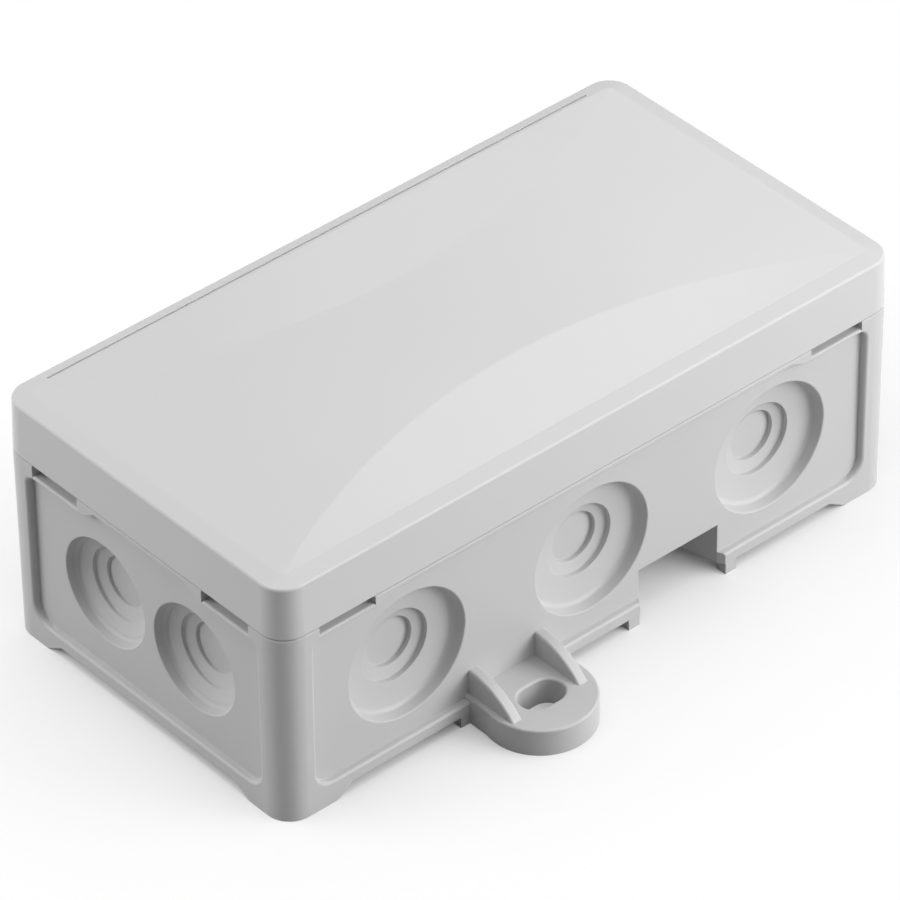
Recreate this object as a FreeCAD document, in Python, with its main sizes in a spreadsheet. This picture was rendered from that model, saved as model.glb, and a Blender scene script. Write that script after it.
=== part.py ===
import FreeCAD, Part
import math
import os
import re

import Sketcher

# Driving dimensions in millimetres: alias, value, what it is.
DIMENSIONS = [
    ("case_length", 155.0, "outer length at the seam"),
    ("case_width", 81.2, "outer width at the seam"),
    ("corner_radius", 5.6, "plan radius of the vertical corners"),
    ("post_top", 43.45, "height of the base's rim, where the lid sits"),
    ("draft_inset", 0.2, "how far the outer faces lean in from the seam to the feet"),
    ("wall", 2.2, "wall thickness behind the panels"),
    ("floor_thickness", 2.0, "floor thickness"),
    ("collar_height", 5.6, "collar above the rim"),
    ("panel_recess", 1.7, "depth of the wall panels behind the seam outline"),
    ("panel_foot_corner", 4.3, "radius of the panels' lower corners"),
    ("panel_top_corner", 2.0, "radius of the panels' upper corners"),
    ("frame_round", 0.6, "rounding of the frame round a panel"),
    ("long_frame", 7.7, "frame beside a long wall's panel, from the end of the case"),
    ("short_frame", 7.2, "frame beside a short wall's panel, from the side of the case"),
    ("panel_bottom", 5.1, "height of the ledge under the panels"),
    ("long_panel_top", 40.7, "top of a long wall's panel below the prise-off slots"),
    ("short_panel_top", 40.0, "top of a short wall's panel below the prise-off slots"),
    ("middle_panel_top", 42.5, "top of the panels between the prise-off slots"),
    ("slot_end", 0.9, "rim left standing at the inner end of a prise-off slot"),
    ("slot_ramp", 4.0, "length over which a panel's top climbs from a slot to the middle"),
    ("foot_height", 2.5, "clearance under the floor"),
    ("foot_long", 12.0, "corner foot along a long wall, at the ground"),
    ("foot_short", 10.6, "corner foot along a short wall, at the ground"),
    ("foot_slope", 4.2, "run of a corner foot's sloped end"),
    ("pip_width", 2.8, "width of the small feet beside the lug recess"),
    ("lug_pip_width", 3.0, "width of the small foot beside a lug"),
    ("lug_pip_overlap", 0.8, "how far that foot runs under the lug"),
    ("pip_depth", 2.4, "depth of the small feet under the rim"),
    ("slot_margin_long", 9.2, "prise-off slot on a long wall, from the end of the case"),
    ("slot_length_long", 13.4, "length of a prise-off slot on a long wall"),
    ("slot_floor_long", 41.7, "height of a prise-off slot's floor on a long wall"),
    ("slot_margin_short", 9.3, "prise-off slot on a short wall, from the side of the case"),
    ("slot_length_short", 13.3, "length of a prise-off slot on a short wall"),
    ("slot_floor_short", 41.0, "height of a prise-off slot's floor on a short wall"),
    ("lip_round", 0.5, "rounding of a prise-off slot's outer lip"),
    ("seam_round", 0.4, "rounding of the base's rim at the seam"),
    ("long_entry_pitch", 46.1, "spacing of the entries on a long wall"),
    ("long_entry_height", 23.6, "height of the entries on a long wall"),
    ("long_entry_mouth", 14.2, "mouth radius of a long wall's entries"),
    ("long_entry_sink", 2.8, "depth of a long wall's entry mouth"),
    ("long_ring_radius", 7.95, "radius of the first step on a long wall"),
    ("long_disc_radius", 5.45, "radius of the second step on a long wall"),
    ("short_entry_pitch", 26.0, "spacing of the entries on a short wall"),
    ("short_entry_height", 23.0, "height of the entries on a short wall"),
    ("short_entry_mouth", 11.6, "mouth radius of a short wall's entries"),
    ("short_entry_sink", 2.4, "depth of a short wall's entry mouth"),
    ("short_ring_radius", 7.9, "radius of the first step on a short wall"),
    ("short_disc_radius", 5.4, "radius of the second step on a short wall"),
    ("entry_draft", 0.3, "narrowing of an entry's mouth wall"),
    ("dish_round", 1.0, "inner rounding between an entry's mouth wall and its dished floor"),
    ("long_dish_drop", 0.75, "fall of a long wall's dished floor towards the first step"),
    ("long_ring_drop", 0.6, "fall of the ring between the steps on a long wall"),
    ("long_step_drop", 1.0, "depth of each step on a long wall"),
    ("short_dish_drop", 1.05, "fall of a short wall's dished floor towards the first step"),
    ("short_ring_drop", 0.85, "fall of the ring between the steps on a short wall"),
    ("short_step_drop", 0.6, "depth of each step on a short wall"),
    ("entry_skin", 1.3, "thickness of an entry's moulded skin"),
    ("lug_offset", 21.2, "lug from the middle of a long wall"),
    ("lug_reach", 59.05, "tip of a lug from the middle of the case"),
    ("lug_radius", 11.3, "radius of a lug's round end"),
    ("lug_root", 11.0, "half width of a lug at the wall"),
    ("lug_height", 6.0, "thickness of a lug"),
    ("screw_slot_offset", 21.3, "screw slot from the middle of a long wall"),
    ("screw_slot_length", 10.0, "screw slot, end to end"),
    ("screw_slot_width", 6.8, "screw slot width"),
    ("screw_slot_reach", 48.3, "screw slot from the middle of the case"),
    ("gusset_offset", 21.7, "middle of a lug's two gussets from the middle of a long wall"),
    ("gusset_spacing", 16.6, "distance between a lug's gussets"),
    ("gusset_width", 2.4, "gusset thickness"),
    ("gusset_top", 11.5, "height of a gusset at the wall"),
    ("gusset_reach", 51.4, "foot of a gusset from the middle of the case"),
    ("recess_offset", 22.3, "lug recess from the middle of a long wall"),
    ("recess_mouth", 10.3, "half width of the lug recess at the panel"),
    ("recess_flare", 0.95, "widening of the lug recess through the rim, each side"),
    ("recess_depth", 18.0, "depth of the lug recess behind the panel"),
    ("recess_taper", 4.2, "narrowing of the lug recess, each side"),
    ("recess_top", 11.8, "height of the lug recess"),
    ("lid_bottom", 43.7, "lower edge of the lid's skirt"),
    ("lid_edge", 55.15, "height of the lid's outer top edge"),
    ("lid_draft", 0.3, "how far the lid's sides lean in towards its top edge"),
    ("skirt", 2.0, "thickness of the lid's skirt"),
    ("lid_gap", 0.35, "clearance between skirt and collar"),
    ("lid_thickness", 2.0, "thickness of the lid's top at its edge"),
    ("border", 3.8, "width of the sloped border round the lid's top"),
    ("border_rise", 0.7, "rise of the lid's border"),
    ("vault_margin", 0.3, "flat line between the border and the vault"),
    ("vault_rise", 1.0, "rise of the vaulted top above the border"),
    ("vault_bevel", 20.0, "width of the sloped sides of the vault at the middle"),
    ("scribe_width", 0.5, "width of the fine line behind the vault"),
    ("scribe_depth", 0.35, "depth of the fine line behind the vault"),
    ("scribe_inset", 3.0, "fine line from the lid's rear top edge"),
    ("scribe_end", 9.2, "fine line from the ends of the lid"),
    ("rim_round", 0.25, "rounding of the entries' rims"),
    ("lug_round", 0.5, "rounding of the lugs' top edges"),
    ("gusset_round", 0.5, "rounding of the gussets' edges"),
    ("edge_round", 0.6, "rounding of the lid's top edge"),
    ("overrun", 2.0, "how far a cut runs past the face it opens"),
]

# Shared heights and planes, worked out from the sheet.
FLOOR_TOP = "(foot_height + floor_thickness)"
COLLAR_TOP = "(post_top + collar_height)"
FRONT = "(case_width / 2 - panel_recess)"
SIDE = "(case_length / 2 - panel_recess)"
COLLAR_INSET = "(skirt + lid_gap)"
LONG_PANEL = "(case_length / 2 - long_frame)"
SHORT_PANEL = "(case_width / 2 - short_frame)"
LONG_SLOT_END = "(case_length / 2 - slot_margin_long)"
LONG_SLOT_START = "(%s - slot_length_long)" % LONG_SLOT_END
SHORT_SLOT_END = "(case_width / 2 - slot_margin_short)"
SHORT_SLOT_START = "(%s - slot_length_short)" % SHORT_SLOT_END
GUSSET_RUN = "(gusset_reach - %s)" % FRONT
GUSSET_DROP = "(gusset_top - lug_height)"
GUSSET_RADIUS = "((%s ^ 2 + %s ^ 2) / (2 * %s))" % (GUSSET_RUN, GUSSET_DROP, GUSSET_DROP)
LID_LENGTH = "(case_length - 2 * lid_draft)"
LID_WIDTH = "(case_width - 2 * lid_draft)"
LID_CORNER = "(corner_radius - lid_draft)"

doc = FreeCAD.newDocument("junction_box")
sheet = doc.addObject("Spreadsheet::Sheet", "Dimensions")
for row, (alias, number, note) in enumerate(DIMENSIONS, start=1):
    sheet.set("A%d" % row, note)
    sheet.set("B%d" % row, str(number))
    sheet.setAlias("B%d" % row, alias)
doc.recompute()
ALIAS = re.compile(r"\b(%s)\b" % "|".join(alias for alias, number, note in DIMENSIONS))


def bind(text):
    """The expression with every alias read from the sheet."""
    return ALIAS.sub(r"Dimensions.\1", text)


def value(text):
    """The expression's present value in millimetres."""
    return float(sheet.evalExpression(text))


def new_body(name):
    body = doc.addObject("PartDesign::Body", name)
    body.Label = name
    return body


def new_sketch(body, name, plane, offset="0", up="0"):
    """A sketch on one of the body's own planes, moved along its normal and up in the plane."""
    sketch = body.newObject("Sketcher::SketchObject", name + "_sketch")
    support = [item for item in body.Origin.OriginFeatures if item.Role == plane]
    sketch.AttachmentSupport = [(support[0], "")]
    sketch.MapMode = "FlatFace"
    sketch.setExpression("AttachmentOffset.Base.y", bind(up))
    sketch.setExpression("AttachmentOffset.Base.z", bind(offset))
    return sketch


def set_size(sketch, constraint, text):
    index = sketch.addConstraint(constraint)
    sketch.setExpression("Constraints[%d]" % index, bind(text))


def fix_point(sketch, geometry, point, x, y):
    """Ties a point to the sketch's origin by its two distances."""
    for kind, text, axis in (("DistanceX", x, -2), ("DistanceY", y, -1)):
        if text == "0":
            sketch.addConstraint(Sketcher.Constraint("PointOnObject", geometry, point, axis))
        else:
            set_size(sketch, Sketcher.Constraint(kind, -1, 1, geometry, point, value(text)), text)


def outline(sketch, corners):
    """A closed loop of lines through the corners, each an (x, y) pair of expressions.

    A third entry is the radius of an arc from that corner to the next, bulging to its left.
    """
    points = [FreeCAD.Vector(value(corner[0]), value(corner[1]), 0) for corner in corners]
    count = len(corners)
    first = sketch.GeometryCount
    ends = []
    for index, corner in enumerate(corners):
        start = points[index]
        stop = points[(index + 1) % count]
        if len(corner) == 2:
            sketch.addGeometry(Part.LineSegment(start, stop))
            ends.append((1, 2))
        else:
            chord = stop - start
            radius = value(corner[2])
            left = FreeCAD.Vector(-chord.y, chord.x, 0).normalize()
            rise = math.sqrt(max(radius ** 2 - (chord.Length / 2) ** 2, 0))
            middle = (start + stop) / 2 + left * (radius - rise)
            sketch.addGeometry(Part.Arc(start, middle, stop))
            ends.append((2, 1))
            set_size(sketch, Sketcher.Constraint("Radius", first + index, radius), corner[2])
    for index, corner in enumerate(corners):
        after = (index + 1) % count
        sketch.addConstraint(Sketcher.Constraint(
            "Coincident", first + index, ends[index][1], first + after, ends[after][0]))
        fix_point(sketch, first + index, ends[index][0], corner[0], corner[1])


def rounded(sketch, centres, radius):
    """A loop of lines and equal arcs round the centres, which are listed anticlockwise."""
    size = value(radius)
    points = [FreeCAD.Vector(value(x), value(y), 0) for x, y in centres]
    count = len(points)
    first = sketch.GeometryCount
    outward = []
    for index in range(count):
        along = points[(index + 1) % count] - points[index]
        outward.append(FreeCAD.Vector(along.y, -along.x, 0).normalize())
    up = FreeCAD.Vector(0, 0, 1)
    for index in range(count):
        before = outward[index - 1]
        after = outward[index]
        start = math.atan2(before.y, before.x)
        stop = math.atan2(after.y, after.x)
        if stop <= start:
            stop += 2 * math.pi
        sketch.addGeometry(Part.ArcOfCircle(Part.Circle(points[index], up, size), start, stop))
    for index in range(count):
        shift = outward[index] * size
        sketch.addGeometry(Part.LineSegment(points[index] + shift, points[(index + 1) % count] + shift))
    for index in range(count):
        line = first + count + index
        after = first + (index + 1) % count
        sketch.addConstraint(Sketcher.Constraint("Tangent", first + index, 2, line, 1))
        sketch.addConstraint(Sketcher.Constraint("Tangent", line, 2, after, 1))
        if index:
            sketch.addConstraint(Sketcher.Constraint("Equal", first, first + index))
        fix_point(sketch, first + index, 3, *centres[index])
    set_size(sketch, Sketcher.Constraint("Radius", first, size), radius)


def rounded_rectangle(sketch, length, width, radius, middle="0"):
    """A rectangle with round corners, centred on the sketch's vertical axis."""
    right = "(%s) / 2 - (%s)" % (length, radius)
    left = "-((%s) / 2 - (%s))" % (length, radius)
    high = "(%s) + (%s) / 2 - (%s)" % (middle, width, radius)
    low = "(%s) - (%s) / 2 + (%s)" % (middle, width, radius)
    rounded(sketch, [(left, low), (right, low), (right, high), (left, high)], radius)


def rectangle(sketch, left, low, right, high):
    outline(sketch, [(left, low), (right, low), (right, high), (left, high)])


def extrude(body, kind, sketch, length=None, reverse=False, both=False, taper=None):
    """A pad or pocket of the sketch; no length cuts through everything."""
    feature = body.newObject("PartDesign::" + kind, sketch.Name.replace("_sketch", ""))
    feature.Profile = sketch
    feature.Reversed = reverse
    if both:
        feature.SideType = "Symmetric"
    if length is None:
        feature.Type = "ThroughAll"
    else:
        feature.setExpression("Length", bind(length))
    if taper:
        feature.setExpression("TaperAngle", bind(taper))
    return feature


def revolve(body, kind, sketch):
    """A full turn of the sketch about its own horizontal axis."""
    feature = body.newObject("PartDesign::" + kind, sketch.Name.replace("_sketch", ""))
    feature.Profile = sketch
    feature.ReferenceAxis = (sketch, ["H_Axis"])
    feature.Angle = 360
    return feature


def half_turn(body, name, features):
    """Repeats the features on the opposite side of the case."""
    pattern = body.newObject("PartDesign::PolarPattern", name)
    pattern.Originals = features
    axis = [item for item in body.Origin.OriginFeatures if item.Role == "Z_Axis"]
    pattern.Axis = (axis[0], [""])
    pattern.Angle = 360
    pattern.Occurrences = 2
    body.Tip = pattern
    return pattern


def round_edges(body, name, wanted, radius):
    """Rounds every edge of the finished form that the test picks out."""
    doc.recompute()
    tip = body.Tip
    names = []
    for index, edge in enumerate(tip.Shape.Edges, start=1):
        if wanted(edge):
            names.append("Edge%d" % index)
    if not names:
        raise RuntimeError(name + " found no edge to round")
    fillet = body.newObject("PartDesign::Fillet", name)
    fillet.Base = (tip, names)
    fillet.setExpression("Radius", bind(radius))
    return fillet


def near(first, second):
    return abs(first - second) < 0.01


def on_entry_rim(edge):
    """Picks the mouth circles of the cable entries."""
    if not isinstance(edge.Curve, Part.Circle):
        return False
    centre = edge.Curve.Center
    radius = edge.Curve.Radius
    on_long = near(radius, value("long_entry_mouth")) and near(abs(centre.y), value(FRONT))
    on_short = near(radius, value("short_entry_mouth")) and near(abs(centre.x), value(SIDE))
    return on_long or on_short


def level_at(edge, height):
    """True for an edge that lies flat at the height."""
    box = edge.BoundBox
    return near(box.ZMin, value(height)) and near(box.ZMax, value(height))


def on_seam(edge):
    """Picks the outline of the block's top."""
    return level_at(edge, "post_top")


def on_panel_frame(edge):
    """Picks the edges where the sunk panels cut the outer faces."""
    box = edge.BoundBox
    if box.ZMin < value("panel_bottom") - 0.01 or box.ZMax > value("long_panel_top") + 0.01:
        return False
    reach_x = min(abs(box.XMin), abs(box.XMax))
    reach_y = min(abs(box.YMin), abs(box.YMax))
    inside_x = max(abs(box.XMin), abs(box.XMax)) < value(LONG_PANEL) + 0.01
    inside_y = max(abs(box.YMin), abs(box.YMax)) < value(SHORT_PANEL) + 0.01
    on_long = inside_x and reach_y > value(FRONT + " + panel_recess / 2")
    on_short = inside_y and reach_x > value(SIDE + " + panel_recess / 2")
    return on_long or on_short


def on_lug_top(edge):
    """Picks the outer top edges of the lugs and the rims of the screw slots."""
    box = edge.BoundBox
    if not level_at(edge, "lug_height") or min(abs(box.YMin), abs(box.YMax)) < value(FRONT) - 0.01:
        return False
    if isinstance(edge.Curve, Part.Circle):
        radius = edge.Curve.Radius
        return near(radius, value("lug_radius")) or near(radius, value("screw_slot_width / 2"))
    middle = edge.CenterOfMass
    if near(abs(middle.x), value("screw_slot_offset")):
        return near(abs(abs(middle.y) - value("screw_slot_reach")), value("screw_slot_width / 2"))
    return near(abs(abs(middle.x) - value("lug_offset")), value("lug_root"))


def on_gusset(edge):
    """Picks the curved edges of the gussets."""
    return isinstance(edge.Curve, Part.Circle) and near(edge.Curve.Radius, value(GUSSET_RADIUS))


def on_lid_edge(edge):
    """Picks the outline where the lid's border meets its sides."""
    return level_at(edge, "lid_edge")


def entry(body, name, wall, plane, offset, face):
    """One stepped cable entry: a moulded skin behind the wall, then the stepped hollow in front."""
    height = wall + "_entry_height"
    mouth = wall + "_entry_mouth"
    sink = wall + "_entry_sink"
    ring = wall + "_ring_radius"
    disc = wall + "_disc_radius"
    dish = "%s + %s_dish_drop" % (sink, wall)
    ring_top = "%s + %s_step_drop" % (dish, wall)
    ring_low = "%s + %s_ring_drop" % (ring_top, wall)
    bottom = "%s + %s_step_drop" % (ring_low, wall)
    narrow = "%s - entry_draft" % mouth
    steps = [(dish, ring), (ring_top, ring), (ring_low, disc), (bottom, disc)]
    skin = new_sketch(body, name + "_skin", plane, offset, height)
    back = [("-%s + %s + entry_skin" % (face, depth), "%s + entry_skin" % radius)
            for depth, radius in [(sink, narrow)] + steps]
    outline(skin, [("-" + face, "0"), ("-" + face, back[0][1])] + back + [(back[-1][0], "0")])
    hollow = new_sketch(body, name, plane, offset, height)
    front = [("-%s + %s - dish_round" % (face, sink), narrow, "dish_round"),
             ("-%s + %s" % (face, sink), narrow + " - dish_round")]
    front += [("-%s + %s" % (face, depth), radius) for depth, radius in steps]
    outer = "-%s - overrun / 2" % face
    outline(hollow, [(outer, "0"), (outer, mouth), ("-" + face, mouth)] + front + [(front[-1][0], "0")])
    return [revolve(body, "Revolution", skin), revolve(body, "Groove", hollow)]


def panel_recesses(body):
    """The sunk panel of the front wall and of the left wall, up to the lips of the prise-off slots."""
    features = []
    for name, plane, half, top, face in (
            ("front_panel", "XZ_Plane", LONG_PANEL, "long_panel_top", FRONT),
            ("left_panel", "YZ_Plane", SHORT_PANEL, "short_panel_top", "-" + SIDE)):
        sketch = new_sketch(body, name, plane, face)
        shoulder = top + " - panel_top_corner"
        knee = "panel_bottom + panel_foot_corner"
        outline(sketch, [("-" + half, shoulder, "panel_top_corner"), ("-%s + panel_top_corner" % half, top),
                         (half + " - panel_top_corner", top, "panel_top_corner"), (half, shoulder),
                         (half, knee, "panel_foot_corner"), (half + " - panel_foot_corner", "panel_bottom"),
                         ("-%s + panel_foot_corner" % half, "panel_bottom", "panel_foot_corner"),
                         ("-" + half, knee)])
        features.append(extrude(body, "Pocket", sketch, "panel_recess + overrun", reverse=plane == "XZ_Plane"))
    return features


def panel_middles(body):
    """Carries the front and left panels up to the rim between the prise-off slots, with ramped ends."""
    features = []
    for name, plane, start, top, face in (
            ("front_panel_middle", "XZ_Plane", LONG_SLOT_START, "long_panel_top", FRONT),
            ("left_panel_middle", "YZ_Plane", SHORT_SLOT_START, "short_panel_top", "-" + SIDE)):
        sketch = new_sketch(body, name, plane, face)
        half = "(%s - slot_end)" % start
        level = half + " - slot_ramp"
        outline(sketch, [("-" + half, top + " - overrun"), (half, top + " - overrun"), (half, top),
                         (level, "middle_panel_top"), ("-(%s)" % level, "middle_panel_top"), ("-" + half, top)])
        features.append(extrude(body, "Pocket", sketch, "panel_recess + overrun", reverse=plane == "XZ_Plane"))
    return features


def prise_slots(body):
    """Two slots in the rim of the front wall and two in the left wall, each with a rounded outer lip."""
    features = []
    for wall, plane, extent, inner, outer in (
            ("long", "YZ_Plane", "case_width", LONG_SLOT_START, LONG_SLOT_END),
            ("short", "XZ_Plane", "case_length", SHORT_SLOT_START, SHORT_SLOT_END)):
        floor = "slot_floor_" + wall
        back = "-(%s / 2 - %s)" % (extent, COLLAR_INSET)
        lip = "-(%s / 2 - lip_round)" % extent
        edge = "-%s / 2" % extent
        beyond = "-(%s / 2 + overrun)" % extent
        for name, start in (("low", "-" + outer), ("high", inner)):
            place = start
            if plane == "XZ_Plane":
                place = "-(%s)" % start
            sketch = new_sketch(body, "%s_slot_%s" % (wall, name), plane, place)
            outline(sketch, [(back, "post_top"), (beyond, "post_top"), (beyond, floor + " - lip_round"),
                             (edge, floor + " - lip_round", "lip_round"), (lip, floor), (back, floor)])
            features.append(extrude(body, "Pocket", sketch, "slot_length_" + wall,
                                    reverse=plane == "YZ_Plane"))
    return features


def entries(body):
    """Three entries along the front wall and two along the left wall."""
    features = []
    for number, place in enumerate(("-long_entry_pitch", "0", "long_entry_pitch"), start=1):
        features += entry(body, "front_entry_%d" % number, "long", "YZ_Plane", place, FRONT)
    for number, place in enumerate(("-short_entry_pitch / 2", "short_entry_pitch / 2"), start=1):
        features += entry(body, "left_entry_%d" % number, "short", "XZ_Plane", place, SIDE)
    return features


def lug_recess(body):
    """The roofed recess under the front wall, with the hood that keeps it out of the case."""
    hood = new_sketch(body, "recess_hood", "XY_Plane", "foot_height")
    back = "-%s + recess_depth" % FRONT
    outline(hood, [
        ("recess_offset - recess_mouth - wall", "-" + FRONT),
        ("recess_offset + recess_mouth + wall", "-" + FRONT),
        ("recess_offset + recess_mouth - recess_taper + wall", back + " + wall"),
        ("recess_offset - recess_mouth + recess_taper - wall", back + " + wall")])
    hollow = new_sketch(body, "recess", "XY_Plane")
    mouth = "-%s - panel_recess" % FRONT
    outline(hollow, [
        ("recess_offset - recess_mouth", "-" + FRONT),
        ("recess_offset - recess_mouth - recess_flare", mouth),
        ("recess_offset - recess_mouth - recess_flare", mouth + " - overrun"),
        ("recess_offset + recess_mouth + recess_flare", mouth + " - overrun"),
        ("recess_offset + recess_mouth + recess_flare", mouth),
        ("recess_offset + recess_mouth", "-" + FRONT),
        ("recess_offset + recess_mouth - recess_taper", back),
        ("recess_offset - recess_mouth + recess_taper", back)])
    return [extrude(body, "Pad", hood, "recess_top + wall - foot_height"),
            extrude(body, "Pocket", hollow, "recess_top", reverse=True)]


def lug(body):
    """The front lug: a round-ended tongue with two curved gussets and an oblong screw slot."""
    features = []
    root = "-%s + wall / 2" % FRONT
    shoulder = "-(lug_reach - lug_radius) + sqrt(lug_radius ^ 2 - lug_root ^ 2)"
    tongue = new_sketch(body, "lug_tongue", "XY_Plane")
    outline(tongue, [("-lug_offset + lug_root", root), ("-lug_offset + lug_root", shoulder, "lug_radius"),
                     ("-lug_offset", "-lug_reach", "lug_radius"), ("-lug_offset - lug_root", shoulder),
                     ("-lug_offset - lug_root", root)])
    features.append(extrude(body, "Pad", tongue, "lug_height"))
    for name, sign in (("left_gusset", "-"), ("right_gusset", "+")):
        gusset = new_sketch(body, name, "YZ_Plane", "-gusset_offset %s gusset_spacing / 2" % sign)
        outline(gusset, [(root, "lug_height / 2"), ("-gusset_reach", "lug_height / 2"),
                         ("-gusset_reach", "lug_height", GUSSET_RADIUS), ("-" + FRONT, "gusset_top"),
                         (root, "gusset_top")])
        features.append(extrude(body, "Pad", gusset, "gusset_width", both=True))
    slot = new_sketch(body, "screw_slot", "XY_Plane", "lug_height")
    half = "(screw_slot_length - screw_slot_width) / 2"
    rounded(slot, [("-screw_slot_offset - " + half, "-screw_slot_reach"),
                   ("-screw_slot_offset + " + half, "-screw_slot_reach")], "screw_slot_width / 2")
    features.append(extrude(body, "Pocket", slot, "lug_height"))
    return features


def rim_pips(body):
    """Small feet under the front rim, beside the recess and the lug."""
    sketch = new_sketch(body, "rim_pips", "XY_Plane")
    low = "-(case_width / 2 - draft_inset)"
    edge = "(recess_mouth + recess_flare)"
    feet = [("recess_offset - %s - pip_width" % edge, "pip_width"), ("recess_offset + " + edge, "pip_width"),
            ("-lug_offset - lug_root + lug_pip_overlap - lug_pip_width", "lug_pip_width")]
    for left, width in feet:
        rectangle(sketch, left, low, "%s + %s" % (left, width), low + " + pip_depth")
    return [extrude(body, "Pad", sketch, "foot_height + floor_thickness / 2")]


def foot_channels(body):
    """Cuts the underside back between the corner feet, along both directions."""
    for name, plane, extent, foot in (("long_channel", "XZ_Plane", "case_length", "foot_long"),
                                      ("short_channel", "YZ_Plane", "case_width", "foot_short")):
        sketch = new_sketch(body, name, plane)
        ground = "%s / 2 - draft_inset - %s" % (extent, foot)
        below = "(%s + foot_slope)" % ground
        above = "(%s - foot_slope)" % ground
        outline(sketch, [("-" + below, "-foot_height"), (below, "-foot_height"),
                         (above, "foot_height"), ("-" + above, "foot_height")])
        extrude(body, "Pocket", sketch, both=True)


def make_base():
    body = new_body("base")
    block = new_sketch(body, "block", "XY_Plane", "post_top")
    rounded_rectangle(block, "case_length", "case_width", "corner_radius")
    extrude(body, "Pad", block, "post_top", reverse=True, taper="-atan(draft_inset / post_top)")
    round_edges(body, "seam_edge", on_seam, "seam_round")
    collar = new_sketch(body, "collar", "XY_Plane", "post_top")
    rounded_rectangle(collar, "case_length - 2 * " + COLLAR_INSET, "case_width - 2 * " + COLLAR_INSET,
                      "corner_radius - " + COLLAR_INSET)
    extrude(body, "Pad", collar, "collar_height")
    cavity = new_sketch(body, "cavity", "XY_Plane", COLLAR_TOP)
    inset = "(panel_recess + wall)"
    rounded_rectangle(cavity, "case_length - 2 * " + inset, "case_width - 2 * " + inset,
                      "corner_radius - " + inset)
    extrude(body, "Pocket", cavity, "%s - %s" % (COLLAR_TOP, FLOOR_TOP))
    foot_channels(body)
    half_turn(body, "opposite_panels", panel_recesses(body))
    round_edges(body, "panel_frames", on_panel_frame, "frame_round")
    features = panel_middles(body)
    features += prise_slots(body)
    features += lug_recess(body)
    features += entries(body)
    features += lug(body)
    features += rim_pips(body)
    half_turn(body, "opposite_side", features)
    round_edges(body, "entry_rims", on_entry_rim, "rim_round")
    round_edges(body, "gusset_edges", on_gusset, "gusset_round")
    round_edges(body, "lug_tops", on_lug_top, "lug_round")
    return body


def vault(body):
    """The lid's top: a raised middle, trimmed to an arch along the case and to sloped long sides."""
    spring = "(lid_edge + border_rise)"
    top = "(%s + vault_rise + case_width)" % spring
    raised = new_sketch(body, "vault", "XY_Plane", spring)
    rounded_rectangle(raised, LID_LENGTH + " - 2 * border", LID_WIDTH + " - 2 * border",
                      LID_CORNER + " - border")
    extrude(body, "Pad", raised, "vault_rise")
    for name, plane, extent in (("arch", "XZ_Plane", LID_LENGTH), ("slopes", "YZ_Plane", LID_WIDTH)):
        sketch = new_sketch(body, name, plane)
        half = "(%s / 2 - border - vault_margin)" % extent
        edge = "(%s / 2 + overrun)" % extent
        frame = [(half, spring), (edge, spring), (edge, top), ("-" + edge, top), ("-" + edge, spring)]
        if name == "arch":
            radius = "(%s ^ 2 + vault_rise ^ 2) / (2 * vault_rise)" % half
            outline(sketch, frame + [("-" + half, spring, radius)])
        else:
            ridge = "%s + vault_rise / vault_bevel * %s" % (spring, half)
            outline(sketch, frame + [("-" + half, spring), ("0", ridge)])
        extrude(body, "Pocket", sketch, both=True)


def make_lid():
    body = new_body("lid")
    block = new_sketch(body, "lid_block", "XY_Plane", "lid_bottom")
    rounded_rectangle(block, "case_length", "case_width", "corner_radius")
    extrude(body, "Pad", block, "lid_edge - lid_bottom", taper="-atan(lid_draft / (lid_edge - lid_bottom))")
    border = new_sketch(body, "lid_border", "XY_Plane", "lid_edge")
    rounded_rectangle(border, LID_LENGTH, LID_WIDTH, LID_CORNER)
    extrude(body, "Pad", border, "border_rise", taper="-atan(border / border_rise)")
    vault(body)
    hollow = new_sketch(body, "lid_hollow", "XY_Plane", "lid_bottom")
    rounded_rectangle(hollow, "case_length - 2 * skirt", "case_width - 2 * skirt", "corner_radius - skirt")
    extrude(body, "Pocket", hollow, "lid_edge - lid_thickness - lid_bottom", reverse=True)
    scribe = new_sketch(body, "scribe", "XY_Plane", "lid_edge + border_rise + vault_rise")
    low = LID_WIDTH + " / 2 - scribe_inset"
    half = "(%s / 2 - scribe_end)" % LID_LENGTH
    rectangle(scribe, "-" + half, low, half, low + " + scribe_width")
    depth = "vault_rise + border_rise + scribe_depth - border_rise * scribe_inset / border"
    extrude(body, "Pocket", scribe, depth)
    round_edges(body, "top_edge", on_lid_edge, "edge_round")
    return body


def check(bodies):
    """Stops before anything is written if an object failed or a sub-part is not one valid solid."""
    for item in doc.Objects:
        if "Invalid" in item.State or "Error" in item.State:
            raise RuntimeError("%s failed: %s" % (item.Label, item.State))
    for body in bodies:
        if body.Shape.isNull() or not body.Shape.isValid() or len(body.Shape.Solids) != 1:
            raise RuntimeError("%s is not one valid solid" % body.Label)
        box = body.Shape.BoundBox
        print(body.Label, "volume %.1f" % body.Shape.Volume, "faces", len(body.Shape.Faces))
        print("  from %.2f %.2f %.2f" % (box.XMin, box.YMin, box.ZMin),
              "to %.2f %.2f %.2f" % (box.XMax, box.YMax, box.ZMax))


subparts = [make_base(), make_lid()]
doc.recompute()
check(subparts)
os.makedirs("parts", exist_ok=True)
for subpart in subparts:
    subpart.Shape.exportStep("parts/%s.step" % subpart.Label)
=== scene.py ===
"""A surface mount junction box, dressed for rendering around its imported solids."""

import math

import bmesh
import bpy
from mathutils import Matrix, Vector

bl_info = {
    "name": "Surface mount junction box",
    "version": (1, 0, 0),
    "blender": (4, 5, 0),
    "location": "3D View > Sidebar > Junction Box",
    "description": "Finishes the moulded base and clip-on lid and sets them on a plain studio floor",
    "category": "Object",
}

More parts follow.
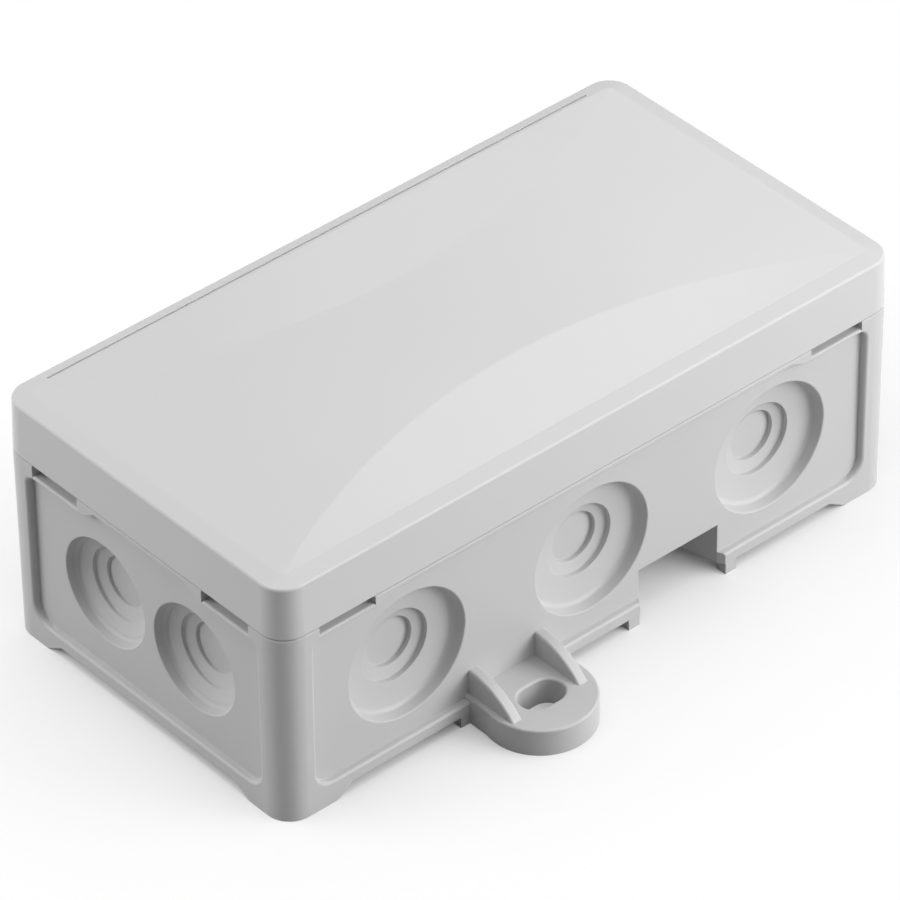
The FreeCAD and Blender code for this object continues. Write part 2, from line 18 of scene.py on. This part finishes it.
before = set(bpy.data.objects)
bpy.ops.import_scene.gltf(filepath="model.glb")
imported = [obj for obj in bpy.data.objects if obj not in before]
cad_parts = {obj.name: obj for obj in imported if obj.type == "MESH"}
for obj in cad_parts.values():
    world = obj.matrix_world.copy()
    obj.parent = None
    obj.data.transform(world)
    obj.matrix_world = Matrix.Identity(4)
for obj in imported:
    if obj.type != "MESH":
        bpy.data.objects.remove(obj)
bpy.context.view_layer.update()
MM = 0.001

# Lamps: compass direction and height in degrees, distance, width and height in metres, radiance.
# The softboxes light the walls and the top. The cards are small and far, and show mostly as soft
# reflections in the smooth lid, where they draw its vault.
LAMPS = [
    ("top_softbox", 139, 78, 0.90, 0.80, 0.80, 2.33),
    ("right_softbox", -41, 42, 0.45, 0.34, 0.34, 1.50),
    ("low_softbox", -52, 12, 0.70, 0.45, 0.45, 5.65),
    ("front_softbox", -80, 30, 0.60, 0.40, 0.40, 1.45),
    ("left_softbox", 139, 20, 0.80, 0.50, 0.50, 4.52),
    ("lid_card", 44, 43.3, 1.20, 0.18, 0.16, 1.64),
    ("vault_card", 39.5, 38, 1.20, 0.15, 0.10, 1.60),
    ("end_card", 45, 28, 1.20, 0.38, 0.31, 0.85),
]
# The two low softboxes are strong. Mirrored in the lid they would blank it out from the far sides.
UNMIRRORED = ("low_softbox", "left_softbox")
LAMP_AIM = Vector((0, 0, 0.05))

WHITE = (1, 1, 1, 1)
POLYPROPYLENE_IOR = 1.49
NOISE_SPAN = (0.3, 0.7)
SHADER_SAMPLES = 8
SENSOR_WIDTH_MM = 36.0
CAMERA_CLIP = (0.05, 50.0)


class MouldingSettings(bpy.types.PropertyGroup):
    base_colour: bpy.props.StringProperty(
        name="Base colour", description="sRGB hex colour of the base's plastic", default="#CACACA")
    lid_colour: bpy.props.StringProperty(
        name="Lid colour", description="sRGB hex colour of the lid's plastic", default="#D0D0D0")
    base_roughness: bpy.props.FloatProperty(
        name="Base roughness", description="Roughness of the base's satin faces",
        default=0.38, min=0.0, max=1.0, subtype="FACTOR")
    lid_roughness: bpy.props.FloatProperty(
        name="Lid roughness", description="Roughness of the lid's smoother faces",
        default=0.16, min=0.0, max=1.0, subtype="FACTOR")
    tone_spread: bpy.props.FloatProperty(
        name="Tone spread", description="How far the plastic's tone drifts across a moulding",
        default=0.03, min=0.0, max=0.3, subtype="FACTOR")
    gloss_spread: bpy.props.FloatProperty(
        name="Gloss spread", description="How far the roughness drifts with the tone",
        default=0.06, min=0.0, max=0.3, subtype="FACTOR")
    tone_size: bpy.props.FloatProperty(
        name="Tone size", description="Breadth of the tone drift", default=42.0 * MM, unit="LENGTH")
    grain_size: bpy.props.FloatProperty(
        name="Grain size", description="Pitch of the tool's spark-eroded grain",
        default=0.7 * MM, unit="LENGTH")
    grain_depth: bpy.props.FloatProperty(
        name="Grain depth", description="Height of the tool's spark-eroded grain",
        default=0.006 * MM, unit="LENGTH")
    grain_strength: bpy.props.FloatProperty(
        name="Grain strength", description="Share of the grain's height that shows",
        default=0.5, min=0.0, max=1.0, subtype="FACTOR")
    edge_radius: bpy.props.FloatProperty(
        name="Edge radius", description="Softening of the mouldings' small edges",
        default=0.2 * MM, unit="LENGTH")


class StudioSettings(bpy.types.PropertyGroup):
    azimuth: bpy.props.FloatProperty(
        name="Azimuth", description="Camera's turn round the box from the front",
        default=math.radians(-41.002), subtype="ANGLE")
    elevation: bpy.props.FloatProperty(
        name="Elevation", description="Camera's height above the horizon",
        default=math.radians(38.276), subtype="ANGLE")
    roll: bpy.props.FloatProperty(
        name="Roll", description="Camera's tilt about its own axis",
        default=math.radians(-0.678), subtype="ANGLE")
    distance: bpy.props.FloatProperty(
        name="Distance", description="Camera's distance along its axis",
        default=1325.03 * MM, unit="LENGTH")
    slide_right: bpy.props.FloatProperty(
        name="Slide right", description="Camera's shift to its right", default=-1.172 * MM, unit="LENGTH")
    slide_up: bpy.props.FloatProperty(
        name="Slide up", description="Camera's shift upwards", default=19.309 * MM, unit="LENGTH")
    lens: bpy.props.FloatProperty(
        name="Lens", description="Focal length on a 36 mm sensor, in millimetres", default=273.75, min=1.0)
    shadow_reach: bpy.props.FloatProperty(
        name="Shadow reach", description="Distance from the box at which the floor is plain white",
        default=60.0 * MM, unit="LENGTH")
    shadow_depth: bpy.props.FloatProperty(
        name="Shadow depth", description="How quickly the floor's white fades under cover of the box",
        default=1.2, min=0.0)
    floor_colour: bpy.props.StringProperty(
        name="Floor colour", description="sRGB hex colour of the floor where its shadow shows",
        default="#F2F2F2")
    bounce_colour: bpy.props.StringProperty(
        name="Bounce colour", description="sRGB hex colour of the floor as it lights the box",
        default="#A0A0A0")
    floor_size: bpy.props.FloatProperty(
        name="Floor size", description="Side of the studio floor", default=12.0, unit="LENGTH")


def linear(text):
    """An sRGB hex colour as linear red, green, blue and an alpha of one."""
    channels = [int(text[place:place + 2], 16) / 255 for place in (1, 3, 5)]
    return [c / 12.92 if c <= 0.04045 else ((c + 0.055) / 1.055) ** 2.4 for c in channels] + [1.0]


def add_node(tree, kind, inputs=None, **settings):
    """A node with its settings; each input is a value or the socket that feeds it."""
    node = tree.nodes.new(kind)
    for name, setting in settings.items():
        setattr(node, name, setting)
    for name, source in (inputs or {}).items():
        if isinstance(source, bpy.types.NodeSocket):
            tree.links.new(source, node.inputs[name])
        else:
            node.inputs[name].default_value = source
    return node


def empty_material(name):
    material = bpy.data.materials.new(name)
    material.use_nodes = True
    material.node_tree.nodes.clear()
    return material, material.node_tree


def moulded_plastic(name, colour, roughness):
    """Injection-moulded polypropylene: even colour, a soft sheen and the tool's faint eroded grain."""
    look = bpy.context.scene.junction_box_moulding
    material, tree = empty_material(name)
    place = add_node(tree, "ShaderNodeTexCoord").outputs["Object"]

    # The plastic cools unevenly, which leaves broad patches a little darker and shinier than the rest.
    drift = add_node(tree, "ShaderNodeTexNoise", {"Vector": place, "Scale": 1 / look.tone_size})
    full = linear(colour)
    shade = [channel * (1 - look.tone_spread) for channel in full[:3]] + [1.0]
    tone = add_node(tree, "ShaderNodeMix", {
        "Factor": drift.outputs["Fac"], "A": shade, "B": full}, data_type="RGBA")
    gloss = add_node(tree, "ShaderNodeMapRange", {
        "Value": drift.outputs["Fac"], "From Min": NOISE_SPAN[0], "From Max": NOISE_SPAN[1],
        "To Min": roughness * (1 - look.gloss_spread), "To Max": roughness * (1 + look.gloss_spread)})

    # Real eroded grain is near 0.1 mm across, too fine to show, so it is drawn coarser.
    grain = add_node(tree, "ShaderNodeTexNoise", {
        "Vector": place, "Scale": 1 / look.grain_size, "Detail": 3.0, "Roughness": 0.6})
    edge = add_node(tree, "ShaderNodeBevel", {"Radius": look.edge_radius}, samples=SHADER_SAMPLES)
    bump = add_node(tree, "ShaderNodeBump", {
        "Strength": look.grain_strength, "Distance": look.grain_depth,
        "Height": grain.outputs["Fac"], "Normal": edge.outputs["Normal"]})

    shader = add_node(tree, "ShaderNodeBsdfPrincipled", {
        "Base Color": tone.outputs["Result"], "Roughness": gloss.outputs["Result"],
        "IOR": POLYPROPYLENE_IOR, "Normal": bump.outputs["Normal"]})
    add_node(tree, "ShaderNodeOutputMaterial", {"Surface": shader.outputs["BSDF"]})
    return material


def dress(node, material):
    """Gives a solid's own object the finish."""
    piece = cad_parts[node]
    piece.data.materials.clear()
    piece.data.materials.append(material)


class JUNCTIONBOX_OT_base(bpy.types.Operator):
    """Finish the moulded base"""
    bl_idname = "junction_box.base"
    bl_label = "Finish base"

    def execute(self, context):
        # Satin faces: broad soft highlights on the posts and rims, and no mirror image.
        look = context.scene.junction_box_moulding
        dress("base", moulded_plastic("satin_moulded_polypropylene", look.base_colour, look.base_roughness))
        return {"FINISHED"}


class JUNCTIONBOX_OT_lid(bpy.types.Operator):
    """Finish the clip-on lid"""
    bl_idname = "junction_box.lid"
    bl_label = "Finish lid"

    def execute(self, context):
        # Smoother faces: a tighter sheen that changes along the vault and marks where it slopes.
        look = context.scene.junction_box_moulding
        dress("lid", moulded_plastic("smooth_moulded_polypropylene", look.lid_colour, look.lid_roughness))
        return {"FINISHED"}


def camera_axes(studio):
    """The camera's right, up and back directions."""
    flat = math.cos(studio.elevation)
    back = Vector((math.sin(studio.azimuth) * flat, -math.cos(studio.azimuth) * flat,
                   math.sin(studio.elevation)))
    level = Vector((math.cos(studio.azimuth), math.sin(studio.azimuth), 0))
    upright = back.cross(level)
    right = math.cos(studio.roll) * level + math.sin(studio.roll) * upright
    up = math.cos(studio.roll) * upright - math.sin(studio.roll) * level
    return right, up, back


def add_camera(studio):
    right, up, back = camera_axes(studio)
    camera = bpy.data.objects.new("camera", bpy.data.cameras.new("camera"))
    camera.data.sensor_width = SENSOR_WIDTH_MM
    camera.data.lens = studio.lens
    camera.data.clip_start, camera.data.clip_end = CAMERA_CLIP
    turn = Matrix((right, up, back)).transposed().to_4x4()
    spot = right * studio.slide_right + up * studio.slide_up + back * studio.distance
    camera.matrix_world = Matrix.Translation(spot) @ turn
    bpy.context.collection.objects.link(camera)
    bpy.context.scene.camera = camera


def add_lamp(name, azimuth, elevation, distance, width, height, radiance):
    """A rectangular lamp that faces the box, placed by its compass direction and height."""
    turn = math.radians(azimuth)
    rise = math.radians(elevation)
    flat = math.cos(rise)
    away = Vector((math.cos(turn) * flat, math.sin(turn) * flat, math.sin(rise)))
    light = bpy.data.lights.new(name, "AREA")
    light.shape = "RECTANGLE"
    light.size = width
    light.size_y = height
    light.energy = radiance * math.pi * width * height
    lamp = bpy.data.objects.new(name, light)
    lamp.rotation_euler = away.to_track_quat("Z", "Y").to_euler()
    lamp.location = LAMP_AIM + away * distance
    lamp.visible_camera = False
    lamp.visible_glossy = name not in UNMIRRORED
    bpy.context.collection.objects.link(lamp)


def seen_directly(tree):
    """A socket that gives one for camera, mirrored and passing rays, and nothing for the rest."""
    path = add_node(tree, "ShaderNodeLightPath")
    seen = path.outputs["Is Camera Ray"]
    for kind in ("Is Glossy Ray", "Is Transmission Ray"):
        seen = add_node(tree, "ShaderNodeMath", {0: seen, 1: path.outputs[kind]},
                        operation="MAXIMUM").outputs["Value"]
    return seen


def whiteness(tree, studio):
    """A socket that is one on open floor and fades where the box stands over it."""
    cover = add_node(tree, "ShaderNodeAmbientOcclusion", {"Distance": studio.shadow_reach},
                     samples=SHADER_SAMPLES)
    fade = add_node(tree, "ShaderNodeMath", {0: cover.outputs["AO"], 1: studio.shadow_depth},
                    operation="POWER")
    return add_node(tree, "ShaderNodeMath", {0: seen_directly(tree), 1: fade.outputs["Value"]},
                    operation="MULTIPLY").outputs["Value"]


def paper_sweep(studio):
    """White paper: it shows the box's soft shadow, turns plain white away from it and throws back
    less light onto the box than it seems to, so that undersides and hollows stay dark."""
    material, tree = empty_material("white_paper_sweep")
    tone = add_node(tree, "ShaderNodeMix", {
        "Factor": seen_directly(tree), "A": linear(studio.bounce_colour),
        "B": linear(studio.floor_colour)}, data_type="RGBA")
    paper = add_node(tree, "ShaderNodeBsdfDiffuse", {"Color": tone.outputs["Result"]})
    glow = add_node(tree, "ShaderNodeEmission", {"Color": WHITE, "Strength": 1.0})
    lift = add_node(tree, "ShaderNodeMixShader", {
        0: whiteness(tree, studio), 1: paper.outputs["BSDF"], 2: glow.outputs["Emission"]})
    add_node(tree, "ShaderNodeOutputMaterial", {"Surface": lift.outputs["Shader"]})
    return material


def add_floor(studio):
    sheet = bmesh.new()
    bmesh.ops.create_grid(sheet, x_segments=1, y_segments=1, size=studio.floor_size / 2)
    mesh = bpy.data.meshes.new("floor")
    sheet.to_mesh(mesh)
    sheet.free()
    mesh.materials.append(paper_sweep(studio))
    floor = bpy.data.objects.new("floor", mesh)
    bpy.context.collection.objects.link(floor)


def add_backdrop():
    """A white surround that is seen and mirrored but adds no light of its own."""
    world = bpy.data.worlds.new("studio")
    bpy.context.scene.world = world
    world.use_nodes = True
    tree = world.node_tree
    tree.nodes.clear()
    white = add_node(tree, "ShaderNodeBackground", {"Color": WHITE, "Strength": seen_directly(tree)})
    add_node(tree, "ShaderNodeOutputWorld", {"Surface": white.outputs["Background"]})


class JUNCTIONBOX_OT_stage(bpy.types.Operator):
    """Set up the camera, the floor and the studio light"""
    bl_idname = "junction_box.stage"
    bl_label = "Set stage"

    def execute(self, context):
        studio = context.scene.junction_box_studio
        context.scene.view_settings.view_transform = "Standard"
        add_camera(studio)
        add_floor(studio)
        add_backdrop()
        for lamp in LAMPS:
            add_lamp(*lamp)
        return {"FINISHED"}


class JUNCTIONBOX_PT_panel(bpy.types.Panel):
    bl_idname = "JUNCTIONBOX_PT_panel"
    bl_label = "Junction Box"
    bl_space_type = "VIEW_3D"
    bl_region_type = "UI"
    bl_category = "Junction Box"

    def draw(self, context):
        layout = self.layout
        for operator in OPERATORS:
            layout.operator(operator.bl_idname)
        for settings in (context.scene.junction_box_moulding, context.scene.junction_box_studio):
            for name in settings.__annotations__:
                layout.prop(settings, name)


OPERATORS = (JUNCTIONBOX_OT_base, JUNCTIONBOX_OT_lid, JUNCTIONBOX_OT_stage)
CLASSES = (MouldingSettings, StudioSettings) + OPERATORS + (JUNCTIONBOX_PT_panel,)


def register():
    for item in CLASSES:
        bpy.utils.register_class(item)
    bpy.types.Scene.junction_box_moulding = bpy.props.PointerProperty(type=MouldingSettings)
    bpy.types.Scene.junction_box_studio = bpy.props.PointerProperty(type=StudioSettings)


def unregister():
    del bpy.types.Scene.junction_box_studio
    del bpy.types.Scene.junction_box_moulding
    for item in reversed(CLASSES):
        bpy.utils.unregister_class(item)


def main():
    register()
    bpy.ops.junction_box.base()
    bpy.ops.junction_box.lid()
    bpy.ops.junction_box.stage()


if __name__ == "__main__":
    main()
